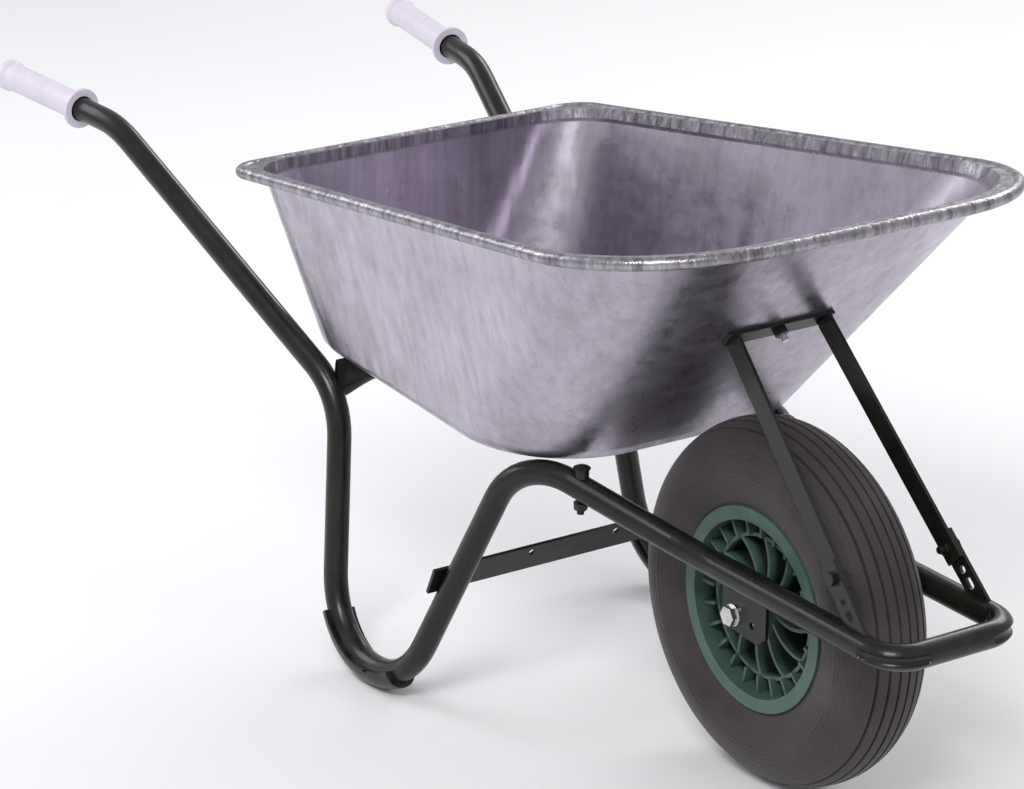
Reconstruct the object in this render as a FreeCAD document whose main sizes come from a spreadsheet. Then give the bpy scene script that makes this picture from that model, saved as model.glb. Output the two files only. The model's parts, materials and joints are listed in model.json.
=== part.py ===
"""Single-wheel builder's wheelbarrow: bent-tube frame, pressed steel tray and a pneumatic wheel.

Frame of reference: +X points forwards to the wheel, +Y to the left-hand handle, +Z up.
The origin is on the ground under the middle of the whole barrow. Millimetres throughout.
"""
import FreeCAD, Part
import math
import os
import Sketcher
from FreeCAD import Placement, Rotation, Vector

SIZES = {
    # wheel
    "axle_ahead": 440.34,           # axle in front of the origin
    "tyre_radius": 200.0,
    "tyre_width": 108.0,
    "tyre_wall": 5.0,
    "tread_thickness": 9.0,
    "tread_groove_width": 3.0,
    "tread_groove_depth": 3.0,
    "tread_groove_pitch": 12.0,
    "bead_width": 9.0,
    "tube_wall": 1.5,               # rubber wall of the inner tube
    "tube_gap": 0.5,                # inner tube to the tyre's crown and the rim bed
    "bead_seat_radius": 101.0,
    "flange_radius": 112.0,
    "rim_width": 80.0,
    "flange_width": 4.0,
    "rim_wall": 4.0,
    "ring_radius": 80.0,
    "ring_wall": 4.0,
    "web_width": 56.0,
    "rib_width": 66.0,
    "rib_thickness": 3.5,
    "spoke_thickness": 4.0,
    "spoke_bow": 9.0,
    "hub_radius": 21.0,
    "hub_length": 84.0,
    "bush_radius": 12.0,
    "bush_flange_radius": 17.0,
    "bush_flange_thickness": 2.0,
    "bush_length": 24.0,
    "axle_radius": 6.0,
    "running_gap": 0.05,            # axle in its bushes
    "side_gap": 0.4,                # bush flange to spacer
    "bolt_gap": 0.5,                # bolt in a plain hole, per side
    "spacer_wall": 2.5,
    "valve_radius": 4.0,
    "valve_length": 16.0,
    "valve_cap_radius": 5.0,
    "valve_cap_length": 9.0,
    "valve_cap_wall": 1.5,
    # frame tube: where its straight runs would meet, and how it bends there
    "tube_radius": 14.0,
    "tube_thickness": 1.8,
    "handle_end_reach": 1160.0,     # behind the axle
    "handle_end_height": 565.5,
    "handle_end_half_spacing": 282.5,
    "handle_bend_reach": 947.0,
    "handle_bend_height": 546.0,
    "handle_bend_half_spacing": 255.5,
    "handle_bend_radius": 110.0,
    "rear_bend_reach": 572.0,
    "rear_bend_height": 304.0,
    "rear_bend_half_spacing": 187.0,
    "rear_bend_radius": 100.0,
    "foot_rear_reach": 539.0,
    "foot_front_reach": 386.0,
    "foot_half_spacing": 222.0,
    "foot_rear_sink": 7.9,          # the run under the bends rises towards the front
    "foot_front_lift": 6.1,
    "foot_bend_radius": 94.0,
    "apex_reach": 243.0,
    "apex_height": 330.0,
    "apex_half_spacing": 170.0,
    "apex_bend_radius": 75.0,
    "front_bend_reach": 46.0,
    "front_bend_height": 255.0,
    "front_bend_radius": 120.0,
    "side_half_spacing": 80.0,
    "bumper_reach": 271.0,          # in front of the axle
    "bumper_height": 243.0,
    "bumper_bend_radius": 34.0,
    "crease_radius": 7.0,
    "crease_offset": 2.5,
    # frame fittings
    "shoe_thickness": 6.0,
    "shoe_rear_angle": 62.0,
    "shoe_front_angle": 24.0,
    "member_radius": 16.0,
    "member_back": 12.0,            # rear cross member behind the rear bend
    "member_height": 326.0,
    "member_end_height": 48.0,
    "member_end_thickness": 9.0,
    "member_end_length": 46.0,      # over which the ends are pressed flat
    "member_inset": 3.0,            # short of the side tube's centreline
    "member_wall": 2.0,
    "brace_width": 34.0,
    "brace_thickness": 4.0,
    "brace_height": 153.0,
    "brace_overhang": 6.0,          # past the outside of each leg
    "brace_hole_radius": 4.5,
    "brace_hole_drop": 9.0,
    "brace_hole_half_spacing": 58.0,
    "brace_hole_offset": 30.0,      # the pair sits towards the right-hand leg
    "bracket_thickness": 4.0,
    "bracket_rear": 20.0,           # behind the axle
    "bracket_front": 53.0,          # in front of the axle
    "bracket_lap": 6.0,             # above the tube's centreline
    "bracket_drop": 15.0,           # below the axle at its rear edge
    "bracket_nose_drop": 22.0,
    "bracket_nose_width": 14.0,
    "bracket_hole_forward": 30.0,
    "bracket_hole_drop": 3.0,
    "bracket_hole_radius": 4.0,
    "stay_width": 24.0,
    "stay_thickness": 4.0,
    "stay_top_half_spacing": 64.0,
    "stay_foot_back": 56.0,         # behind the bumper
    "stay_rise": 174.6,             # crossbar above the lowest part of the floor
    "tab_width": 24.0,
    "tab_length": 74.0,
    "tab_lap": 32.0,
    "tab_hole_radius": 4.25,
    "tab_hole_rise": 31.0,
    "tab_slot_rise": 15.0,
    "tab_sink": 12.0,               # coped into the side tube
    "tab_slot_length": 14.0,
    "crossbar_width": 20.0,
    "crossbar_thickness": 4.0,
    "crossbar_overhang": 3.0,       # past the outside of each stay
    # tray: virtual corners, from which the rounding is cut
    "sheet_thickness": 1.2,
    "bead_radius": 7.0,
    "rim_rear_reach": 706.7,
    "rim_rear_half_width": 242.0,
    "rim_rear_depth": 198.4,        # bead centre above the floor
    "rim_front_ahead": 118.0,
    "rim_front_half_width": 298.6,
    "rim_front_depth": 326.5,
    "rim_front_bow": 4.0,
    "rim_rear_corner": 34.0,
    "rim_front_corner": 164.0,
    "lip_width": 10.0,              # wall top to bead centre at the sides and rear
    "lip_front_width": 23.7,
    "wall_front_corner": 160.0,
    "wall_rear_corner": 70.0,
    "lip_rise": 4.6,                # lip above the bead's centre
    "lip_inset": 4.4,               # lip edge inside the bead's centre
    "floor_rear_reach": 703.0,
    "floor_rear_half_width": 175.0,
    "floor_front_reach": 176.0,
    "floor_front_half_width": 210.0,
    "floor_corner": 130.0,
    "floor_edge_radius": 16.0,
    # grips
    "grip_length": 152.0,
    "grip_radius": 16.5,
    "grip_flange_radius": 24.0,
    "grip_flange_thickness": 5.0,
    "grip_end_radius": 19.0,
    "grip_end_length": 14.0,
    "grip_end_dome": 3.0,
    "grip_end_wall": 5.0,
    "grip_mouth_gap": 1.6,
    "grip_mouth_depth": 12.0,
    # fasteners
    "small_bolt_radius": 4.0,
    "small_head_width": 13.0,
    "small_head_height": 5.3,
    "small_nut_height": 6.5,
    "small_washer_radius": 8.0,
    "small_washer_thickness": 1.6,
    "dome_radius": 9.5,
    "dome_height": 4.0,
    "dome_edge": 1.0,
    "wall_bolt_seat": 0.03,         # front bolt's head to the curved front wall
    "floor_bolt_back": 173.0,       # front floor bolts behind the axle
    "floor_bolt_half_spacing": 95.0,
    "floor_spacer": 7.0,            # between the side tubes and the tray floor
    "axle_head_width": 19.0,
    "axle_head_height": 7.5,
    "axle_nut_height": 10.0,
    "axle_washer_radius": 12.0,
    "axle_washer_thickness": 2.5,
    "bolt_tail": 5.0,
}

RIB_COUNT = 24
SPOKE_COUNT = 12
GROOVE_COUNT = 6
SIDES = {"left": 1, "right": -1}
WALL_TOP = 1.1      # share of the tray's depth to which the walls are drawn before they are trimmed
HOLLOW_TOP = 1.2


class Dim:
    """A size that keeps its spreadsheet expression beside its value."""

    def __init__(self, text, value):
        self.text = text
        self.value = value

    def _with(self, other, sign, result):
        text = other.text if isinstance(other, Dim) else repr(float(other))
        return Dim("({} {} {})".format(self.text, sign, text), result)

    def __add__(self, other):
        return self._with(other, "+", self.value + number(other))

    def __sub__(self, other):
        return self._with(other, "-", self.value - number(other))

    def __mul__(self, other):
        return self._with(other, "*", self.value * number(other))

    def __truediv__(self, other):
        return self._with(other, "/", self.value / number(other))


def number(size):
    return size.value if isinstance(size, Dim) else float(size)


def text_of(size):
    return size.text if isinstance(size, Dim) else repr(float(size))


class Sheet:
    """The driving dimensions, read as attributes."""

    def __init__(self, doc, sizes):
        self.cells = doc.addObject("Spreadsheet::Sheet", "Sizes")
        for row, (alias, size) in enumerate(sizes.items(), start=1):
            self.cells.set("A{}".format(row), alias)
            self.cells.set("B{}".format(row), str(size))
            self.cells.setAlias("B{}".format(row), alias)
        doc.recompute()

    def __getattr__(self, alias):
        return Dim("Sizes." + alias, float(self.cells.get(alias)))


doc = FreeCAD.newDocument("wheelbarrow")
d = Sheet(doc, SIZES)
parts = {}


def keep(node, obj):
    """Name a finished sub-part."""
    obj.Label = node
    parts[node] = obj
    return obj


def bind(obj, **sizes):
    for name, size in sizes.items():
        obj.setExpression(name.replace("_at_", "."), text_of(size))
    return obj


# ---------------------------------------------------------------- primitives and booleans

def move(obj, x=0.0, y=0.0, z=0.0, rotation=Rotation()):
    """Put an object at bound coordinates."""
    obj.Placement = Placement(Vector(number(x), number(y), number(z)), rotation)
    for axis, size in (("x", x), ("y", y), ("z", z)):
        if isinstance(size, Dim):
            obj.setExpression("Placement.Base." + axis, size.text)
    return obj


ALONG_Y = Rotation(Vector(1, 0, 0), -90)


def rod_y(name, radius, start, length, x=0.0, z=0.0):
    """A cylinder along +Y from y = start."""
    rod = doc.addObject("Part::Cylinder", name)
    bind(rod, Radius=radius, Height=length)
    return move(rod, x, start, z, ALONG_Y)


def hexagon_y(name, across_flats, start, length, x=0.0, z=0.0):
    """A hexagonal prism along +Y from y = start."""
    prism = doc.addObject("Part::Prism", name)
    prism.Polygon = 6
    bind(prism, Circumradius=across_flats / math.sqrt(3.0), Height=length)
    return move(prism, x, start, z, ALONG_Y)


def cut(name, base, tool):
    result = doc.addObject("Part::Cut", name)
    result.Base = base
    result.Tool = tool
    return result


def fuse(name, shapes):
    result = doc.addObject("Part::MultiFuse", name)
    result.Shapes = shapes
    return result


def group(name, shapes):
    """Separate solids that share one node."""
    result = doc.addObject("Part::Compound", name)
    result.Links = shapes
    return result


def plain(name, shape, placement=Placement()):
    """A feature whose shape is worked out from the sheet in code."""
    feature = doc.addObject("Part::Feature", name)
    feature.Shape = shape
    feature.Placement = placement
    return feature


# ---------------------------------------------------------------- sketched bodies

def origin_plane(body, role):
    return next(plane for plane in body.Origin.OriginFeatures if plane.Role == role)


def add_point(sketch, geometry, corner, x, y):
    """Hold one end of a line or arc at bound coordinates from the sketch origin."""
    for kind, size in (("DistanceX", x), ("DistanceY", y)):
        row = sketch.addConstraint(Sketcher.Constraint(kind, -1, 1, geometry, corner, number(size)))
        if isinstance(size, Dim):
            sketch.setExpression("Constraints[{}]".format(row), size.text)


def draw_outline(sketch, outline):
    """Closed outline of (x, y) corners; a third entry bulges the next side by that sagitta."""
    corners = [Vector(number(point[0]), number(point[1]), 0) for point in outline]
    for index, point in enumerate(outline):
        following = outline[(index + 1) % len(outline)]
        start = corners[index]
        end = corners[(index + 1) % len(corners)]
        ends = (1, 2)
        if len(point) == 3:
            chord = end - start
            middle = (start + end) * 0.5 + Vector(chord.y, -chord.x, 0).normalize() * point[2]
            if point[2] < 0:
                ends = (2, 1)
                start, end = end, start
            geometry = sketch.addGeometry(Part.Arc(start, middle, end), False)
            radius = (chord.Length ** 2 / 4.0 + point[2] ** 2) / (2.0 * abs(point[2]))
            sketch.addConstraint(Sketcher.Constraint("Radius", geometry, radius))
        else:
            geometry = sketch.addGeometry(Part.LineSegment(start, end), False)
        add_point(sketch, geometry, ends[0], point[0], point[1])
        add_point(sketch, geometry, ends[1], following[0], following[1])


def draw_hole(sketch, x, y, radius):
    circle = Part.Circle(Vector(number(x), number(y), 0), Vector(0, 0, 1), number(radius))
    geometry = sketch.addGeometry(circle, False)
    add_point(sketch, geometry, 3, x, y)
    row = sketch.addConstraint(Sketcher.Constraint("Radius", geometry, number(radius)))
    sketch.setExpression("Constraints[{}]".format(row), text_of(radius))


def new_sketch(name, plane_role):
    body = doc.addObject("PartDesign::Body", name)
    sketch = body.newObject("Sketcher::SketchObject", name + "_outline")
    sketch.AttachmentSupport = (origin_plane(body, plane_role), [""])
    sketch.MapMode = "FlatFace"
    return body, sketch


def pad_sketch(body, sketch, thickness):
    feature = body.newObject("PartDesign::Pad", sketch.Name + "_pad")
    feature.Profile = sketch
    feature.SideType = "Symmetric"
    feature.Length = number(thickness)
    if isinstance(thickness, Dim):
        bind(feature, Length=thickness)
    sketch.Visibility = False
    doc.recompute()
    return feature


def pad(name, outline, thickness, holes=()):
    """A plate across Y: its outline and round holes in one sketch, padded centrally."""
    body, sketch = new_sketch(name, "XZ_Plane")
    draw_outline(sketch, outline)
    for hole in holes:
        draw_hole(sketch, *hole)
    pad_sketch(body, sketch, thickness)
    return body


def cap_bulge(radius, height):
    """Sagitta of the side that turns into a ball-shaped cap of this radius and height."""
    chord = radius.value ** 2 + height.value ** 2
    ball = chord / (2.0 * height.value)
    return ball - math.sqrt(ball ** 2 - chord / 4.0)


def revolve(name, outline):
    """A turned piece: (radius, height) corners about the body's Z axis."""
    body, sketch = new_sketch(name, "XZ_Plane")
    draw_outline(sketch, outline)
    feature = body.newObject("PartDesign::Revolution", name + "_turn")
    feature.Profile = sketch
    feature.ReferenceAxis = (sketch, ["V_Axis"])
    feature.Angle = 360.0
    sketch.Visibility = False
    doc.recompute()
    return body


# ---------------------------------------------------------------- bent tubes

def rounded_edges(points, radii, closed=False):
    """Straight runs between points, with a tangent arc of the given radius at each."""
    count = len(points)
    edges = []
    ends = []
    for index, point in enumerate(points):
        if not closed and index in (0, count - 1):
            ends.append((point, None, point))
            continue
        back = (points[index - 1] - point).normalize()
        onward = (points[(index + 1) % count] - point).normalize()
        half = back.getAngle(onward) / 2.0
        run = radii[index] / math.tan(half)
        middle = point + (back + onward).normalize() * radii[index] * (1.0 / math.sin(half) - 1.0)
        ends.append((point + back * run, middle, point + onward * run))
    for index, (start, middle, end) in enumerate(ends):
        if middle is not None:
            edges.append(Part.Arc(start, middle, end).toShape())
        if closed or index < count - 1:
            edges.append(Part.LineSegment(end, ends[(index + 1) % count][0]).toShape())
    return edges


def rounded_wire(points, radii, closed=False):
    return Part.Wire(rounded_edges(points, radii, closed))


def sweep(path, radius):
    """A round bar along a wire."""
    first = path.OrderedEdges[0]
    start = first.valueAt(first.FirstParameter)
    along = first.tangentAt(first.FirstParameter)
    section = Part.Wire([Part.Circle(start, along, radius).toShape()])
    return path.makePipeShell([section], True, False)


axle_x = d.axle_ahead
ground_to_axle = d.tyre_radius
foot_height = d.tube_radius + d.shoe_thickness


def behind_axle(reach):
    return axle_x - reach


def tube_points(side):
    """Where the straight runs of one side's tube meet, from the grip to the bumper's middle."""
    runs = [
        (d.handle_end_reach, d.handle_end_half_spacing, d.handle_end_height),
        (d.handle_bend_reach, d.handle_bend_half_spacing, d.handle_bend_height),
        (d.rear_bend_reach, d.rear_bend_half_spacing, d.rear_bend_height),
        (d.foot_rear_reach, d.foot_half_spacing, foot_height - d.foot_rear_sink),
        (d.foot_front_reach, d.foot_half_spacing, foot_height + d.foot_front_lift),
        (d.apex_reach, d.apex_half_spacing, d.apex_height),
        (d.front_bend_reach, d.side_half_spacing, d.front_bend_height),
        (d.bumper_reach * -1.0, d.side_half_spacing, d.bumper_height),
        (d.bumper_reach * -1.0, Dim("0", 0.0), d.bumper_height),
    ]
    return [Vector(axle_x.value - x.value, side * y.value, z.value) for x, y, z in runs]


def tube_radii():
    bends = [
        d.handle_bend_radius, d.rear_bend_radius, d.foot_bend_radius, d.foot_bend_radius,
        d.apex_bend_radius, d.front_bend_radius, d.bumper_bend_radius,
    ]
    return [0.0] + [bend.value for bend in bends] + [0.0]


def tube_path(side):
    return rounded_wire(tube_points(side), tube_radii())


def crease(side, radius):
    """The pressed groove round the outside of one bumper bend."""
    bend = d.bumper_bend_radius.value
    reach = bend + d.tube_radius.value + d.crease_offset.value
    centre = Vector(
        axle_x.value + d.bumper_reach.value - bend,
        side * (d.side_half_spacing.value - bend),
        d.bumper_height.value,
    )
    ring = Part.makeTorus(reach, radius, centre, Vector(0, 0, 1), -180, 180, 90)
    if side < 0:
        ring.rotate(centre, Vector(0, 0, 1), -90)
    start = Part.makeSphere(radius, centre + Vector(reach, 0, 0))
    end = Part.makeSphere(radius, centre + Vector(0, side * reach, 0))
    return ring.multiFuse([start, end])


def side_tube_solids(side):
    """Outer and inner solids of one side's tube."""
    path = tube_path(side)
    outer = sweep(path, d.tube_radius.value)
    inner = sweep(path, d.tube_radius.value - d.tube_thickness.value)
    outer = outer.cut(crease(side, d.crease_radius.value))
    inner = inner.cut(crease(side, d.crease_radius.value + d.tube_thickness.value))
    return outer, inner


def point_on_tube(side, x):
    """Where the tube's centreline crosses a given x between its apex and its front bend."""
    points = tube_points(side)
    run = rounded_wire(points[4:7], [0.0, d.apex_bend_radius.value, 0.0])
    ahead = Part.makeBox(4000, 4000, 4000, Vector(x, -2000, -2000))
    return min(run.common(ahead).Vertexes, key=lambda vertex: vertex.X).Point


outer_solids = {}


def build_side_tube(name, side):
    outer, inner = side_tube_solids(side)
    outer_solids[name] = outer
    bolt, direction = front_floor_bolt(side)
    tube = outer.cut(inner).cut(bore(bolt, direction, 6 * d.tube_radius.value))
    keep(name + "_frame_tube", plain(name + "_frame_tube", tube))


# ---------------------------------------------------------------- tray

def floor_line():
    """Underside of the tray floor: on the rear cross member and on the front spacers."""
    rear = Vector(member_x().value, 0, d.member_height.value + d.member_radius.value)
    front = point_on_tube(1, behind_axle(d.floor_bolt_back).value)
    front.y = 0.0
    front.z += d.tube_radius.value + d.floor_spacer.value
    return rear, front


def floor_height(x):
    rear, front = floor_line()
    return rear.z + (front.z - rear.z) * (x - rear.x) / (front.x - rear.x)


def member_x():
    return behind_axle(d.rear_bend_reach) - d.member_back


def blend(low, high, share):
    return low + (high - low) * share


def tray_section(share, inset, lift, lip):
    """Outline of the tray at a share of its depth; lip 1 follows the bead instead of the wall."""
    side_lip = d.lip_width.value * (1.0 - lip)
    front_lip = d.lip_front_width.value * (1.0 - lip)
    rear_x = blend(
        behind_axle(d.floor_rear_reach).value,
        behind_axle(d.rim_rear_reach).value + side_lip, share) + inset
    front_x = blend(
        behind_axle(d.floor_front_reach).value,
        axle_x.value + d.rim_front_ahead.value - front_lip, share) - inset
    rear_half = blend(
        d.floor_rear_half_width.value, d.rim_rear_half_width.value - side_lip, share) - inset
    front_half = blend(
        d.floor_front_half_width.value, d.rim_front_half_width.value - side_lip, share) - inset
    rear_edge = blend(
        behind_axle(d.floor_rear_reach).value, behind_axle(d.rim_rear_reach).value, share)
    front_edge = blend(
        behind_axle(d.floor_front_reach).value, axle_x.value + d.rim_front_ahead.value, share)
    low = floor_height(rear_edge) + d.rim_rear_depth.value * share
    high = floor_height(front_edge) + d.rim_front_depth.value * share
    slope = (high - low) / (front_edge - rear_edge)
    rear_z = low + slope * (rear_x - rear_edge) + lift
    front_z = low + slope * (front_x - rear_edge) + lift
    bow = blend(2.0, 2.0 * d.rim_front_bow.value, share)
    rear_top = d.rim_rear_corner.value if lip else d.wall_rear_corner.value
    rear_round = blend(d.floor_corner.value, rear_top, share) - inset
    front_top = d.rim_front_corner.value if lip else d.wall_front_corner.value
    front_round = blend(d.floor_corner.value, front_top, share) - inset
    points = [
        Vector(rear_x, rear_half, rear_z),
        Vector(rear_x, -rear_half, rear_z),
        Vector(front_x, -front_half, front_z),
        Vector(front_x + bow, 0.0, front_z + bow * slope),
        Vector(front_x, front_half, front_z),
    ]
    sweepback = math.atan2(bow, front_half)
    nose_round = (front_half - front_round * 1.15) / math.tan(sweepback) / math.cos(sweepback)
    radii = [rear_round, rear_round, front_round, nose_round, front_round]
    return rounded_wire(points, radii, closed=True)


def tray_solid(inset, lift, top_share):
    """The tray filled in up to a share of its depth: a rounded lower part, then flat walls."""
    edge = d.floor_edge_radius.value - inset
    depth = (d.rim_rear_depth.value + d.rim_front_depth.value) / 2.0
    lower = []
    for angle in (90.0, 72.0, 54.0, 36.0, 18.0, 0.0):
        turn = math.radians(angle)
        height = edge * (1.0 - math.sin(turn))
        pulled = edge * (1.0 - math.cos(turn))
        lower.append(tray_section(height / depth, inset + pulled, lift, 0))
    base = Part.makeLoft(lower, True, False)
    walls = Part.makeLoft([lower[-1], tray_section(top_share, inset, 0.0, 0)], True, True)
    return base.fuse(walls)


def build_tray():
    """Pressed sheet with a flat lip and a hollow rolled bead round its rim."""
    sheet = d.sheet_thickness.value
    rise = d.lip_rise.value
    outside = tray_solid(0.0, 0.0, WALL_TOP)
    hollow = tray_solid(sheet, sheet, HOLLOW_TOP)
    lid = tray_section(1.0, d.lip_inset.value, rise - sheet, 1)
    lip = Part.Face(lid).extrude(Vector(0, 0, sheet))
    over = Part.Face(tray_section(1.0, -d.lip_front_width.value, rise, 1))
    over = over.extrude(Vector(0, 0, d.rim_front_depth.value))
    pan = outside.cut(over).fuse(lip).cut(hollow)
    bead_path = tray_section(1.0, 0.0, 0.0, 1)
    bead = sweep(bead_path, d.bead_radius.value)
    bead = bead.cut(sweep(bead_path, d.bead_radius.value - sheet))
    tray = pan.fuse(bead)
    bolts = [rear_floor_bolt(side) for side in SIDES.values()]
    bolts += [front_floor_bolt(side) for side in SIDES.values()]
    bolts.append(crossbar_bolt())
    for point, direction in bolts:
        tray = tray.cut(bore(point, direction, 10 * sheet))
    keep("tray", plain("tray", tray))


# ---------------------------------------------------------------- fasteners

def aim(point, direction):
    """Placement whose +Z runs along direction."""
    return Placement(point, Rotation(Vector(0, 0, 1), direction))


def bore(point, direction, reach):
    """A clearance hole for a small bolt, reaching both ways from point."""
    radius = d.small_bolt_radius.value + d.bolt_gap.value
    return Part.makeCylinder(radius, 2 * reach, point - direction * reach, direction)


def floor_down():
    """Square to the tray floor, downwards."""
    rear, front = floor_line()
    return (front - rear).cross(Vector(0, 1, 0)).normalize() * -1.0


def rear_floor_bolt(side):
    """Where a bolt passes the underside of the tray floor, and its direction."""
    x = member_x().value
    return Vector(x, side * d.floor_bolt_half_spacing.value, floor_height(x)), floor_down()


def front_floor_bolt(side):
    x = behind_axle(d.floor_bolt_back).value
    return Vector(x, point_on_tube(side, x).y, floor_height(x)), floor_down()


def crossbar_bolt():
    point, along, outward = front_wall()
    return point, outward


def dome_bolt(name, point, direction, grip, sheet):
    """Round-head bolt: its head inside the tray, behind point by sheet, its shank along direction."""
    shank = d.small_bolt_radius
    under_head = sheet + grip
    bolt = revolve(name, [
        (0.0, 0.0),
        (shank, 0.0),
        (shank, under_head),
        (d.dome_radius, under_head),
        (d.dome_radius, under_head + d.dome_edge, cap_bulge(d.dome_radius, d.dome_height - d.dome_edge)),
        (0.0, under_head + d.dome_height),
    ])
    bolt.Placement = aim(point + direction * number(grip), direction * -1.0)
    return bolt


def hex_nut(name, point, direction):
    """Small nut that stands on point, along direction."""
    prism = doc.addObject("Part::Prism", name + "_prism")
    prism.Polygon = 6
    bind(prism, Circumradius=d.small_head_width / math.sqrt(3.0), Height=d.small_nut_height)
    thread = doc.addObject("Part::Cylinder", name + "_thread")
    bind(thread, Radius=d.small_bolt_radius, Height=d.small_nut_height)
    nut = cut(name, prism, thread)
    nut.Placement = aim(point, direction)
    return nut


def hex_head(name, point, direction):
    """Small hexagon head that stands on point, along direction."""
    prism = doc.addObject("Part::Prism", name)
    prism.Polygon = 6
    bind(prism, Circumradius=d.small_head_width / math.sqrt(3.0), Height=d.small_head_height)
    prism.Placement = aim(point, direction)
    return prism


def small_washer(name, point, direction):
    disc = doc.addObject("Part::Cylinder", name + "_disc")
    bind(disc, Radius=d.small_washer_radius, Height=d.small_washer_thickness)
    opening = doc.addObject("Part::Cylinder", name + "_opening")
    bind(opening, Radius=d.small_bolt_radius + d.bolt_gap, Height=d.small_washer_thickness)
    ring = cut(name, disc, opening)
    ring.Placement = aim(point, direction)
    return ring


def seat_below(solid, point, direction):
    """Distance from point, along direction, to the far side of a solid under a washer."""
    reach = 6 * d.tube_radius.value
    pillar = Part.makeCylinder(d.small_washer_radius.value, reach, point, direction)
    under = pillar.common(solid)
    under.Placement = aim(point, direction).inverse().multiply(under.Placement)
    return under.BoundBox.ZMax


def build_floor_fasteners():
    """Two bolts into the rear cross member and two through the tubes near their apex."""
    washers = []
    nuts = []
    bolts = {"rear": [], "front": []}
    spacers = []
    for name, side in SIDES.items():
        for place, (point, direction) in (
                ("rear", rear_floor_bolt(side)), ("front", front_floor_bolt(side))):
            label = "{}_{}_floor_".format(place, name)
            held = outer_solids["member" if place == "rear" else name]
            seat = seat_below(held, point, direction)
            under_washer = seat + d.small_washer_thickness.value
            grip = under_washer + d.small_nut_height.value + d.bolt_tail.value
            bolts[place].append(
                dome_bolt(label + "bolt", point, direction, grip, d.sheet_thickness))
            washers.append(small_washer(label + "washer", point + direction * seat, direction))
            nuts.append(hex_nut(label + "nut", point + direction * under_washer, direction))
        sleeve = Part.makeCylinder(
            d.small_washer_radius.value, d.floor_spacer.value + d.tube_radius.value, point, direction)
        sleeve = sleeve.cut(bore(point, direction, seat)).cut(outer_solids[name])
        upper = max(sleeve.Solids, key=lambda solid: solid.BoundBox.ZMax)
        spacers.append(plain("{}_floor_spacer".format(name), upper))
    keep("rear_floor_bolts", group("rear_floor_bolts", bolts["rear"]))
    keep("front_floor_bolts", group("front_floor_bolts", bolts["front"]))
    keep("front_floor_spacers", group("front_floor_spacers", spacers))
    keep("floor_washers", group("floor_washers", washers))
    keep("floor_nuts", group("floor_nuts", nuts))


# ---------------------------------------------------------------- frame fittings

def build_grip(name, side):
    """Moulded sleeve with an open flange towards the barrow and a capped, flared end."""
    end, bend = tube_points(side)[:2]
    along = (end - bend).normalize()
    flare = d.grip_length - d.grip_end_length
    inner = d.grip_length - d.grip_end_wall
    mouth = d.tube_radius + d.grip_mouth_gap
    grip = revolve(name + "_grip", [
        (mouth, 0.0),
        (d.grip_flange_radius, 0.0),
        (d.grip_flange_radius, d.grip_flange_thickness),
        (d.grip_radius, d.grip_flange_thickness + 2.0),
        (d.grip_radius, flare),
        (d.grip_end_radius, flare + 4.0),
        (d.grip_end_radius, d.grip_length - d.grip_end_dome, cap_bulge(d.grip_end_radius, d.grip_end_dome)),
        (0.0, d.grip_length),
        (0.0, inner),
        (d.tube_radius, inner),
        (d.tube_radius, d.grip_mouth_depth),
    ])
    grip.Placement = aim(end - along * inner.value, along)
    keep(name + "_grip", grip)


def build_shoe(name, side):
    """Formed plate that covers the underside of the leg bends."""
    edges = rounded_edges(tube_points(side), tube_radii())
    rear, bottom, front = edges[5:8]
    rear_start = rear.LastParameter - math.radians(d.shoe_rear_angle.value)
    front_end = front.FirstParameter + math.radians(d.shoe_front_angle.value)
    path = Part.Wire([
        Part.Edge(rear.Curve, rear_start, rear.LastParameter),
        bottom,
        Part.Edge(front.Curve, front.FirstParameter, front_end),
    ])
    shoe = sweep(path, d.tube_radius.value + d.shoe_thickness.value)
    shoe = shoe.cut(sweep(tube_path(side), d.tube_radius.value))
    reach = d.foot_bend_radius.value
    for arc in (rear, front):
        axis = arc.Curve.Axis
        shoe = shoe.cut(Part.makeCylinder(reach, 2 * reach, arc.Curve.Center - axis * reach, axis))
    start, end = [vertex.Point for vertex in bottom.Vertexes]
    forward = (end - start).normalize()
    across = Vector(0, 1, 0)
    slab = Part.makeBox((end - start).Length, 2 * reach, reach)
    turn = Rotation(forward, across, forward.cross(across), "XYZ")
    slab.Placement = Placement(start - across * reach, turn)
    shoe = shoe.cut(slab)
    keep(name + "_foot_shoe", plain(name + "_foot_shoe", shoe))


def oval(share, inset, y):
    """Section of the rear cross member: round at share 0, pressed tall and thin at share 1."""
    radius = d.member_radius.value
    tall = blend(radius, d.member_end_height.value / 2.0, share)
    wide = blend(radius, d.member_end_thickness.value / 2.0, share)
    centre = Vector(member_x().value, y, d.member_height.value + radius - tall)
    if share:
        curve = Part.Ellipse(Vector(), tall - inset, wide - inset)
    else:
        curve = Part.Circle(Vector(), Vector(0, 0, 1), radius - inset)
    section = curve.toShape()
    upright = Rotation(Vector(0, 0, 1), Vector(1, 0, 0), Vector(0, 1, 0))
    section.Placement = Placement(centre, upright)
    return Part.Wire([section])


def member_bar(inset):
    """The cross member filled in: a round middle that flattens towards both ends."""
    half = d.rear_bend_half_spacing.value - d.member_inset.value
    pressed = d.member_end_length.value
    stations = [(0.0, half - pressed), (0.25, half - pressed * 0.75), (0.75, half - pressed * 0.35),
                (1.0, half)]
    bar = Part.makeLoft([oval(0.0, inset, pressed - half), oval(0.0, inset, half - pressed)], True)
    ends = []
    for side in SIDES.values():
        ends.append(Part.makeLoft([oval(share, inset, side * y) for share, y in stations], True))
    return bar.multiFuse(ends).removeSplitter()


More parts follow.
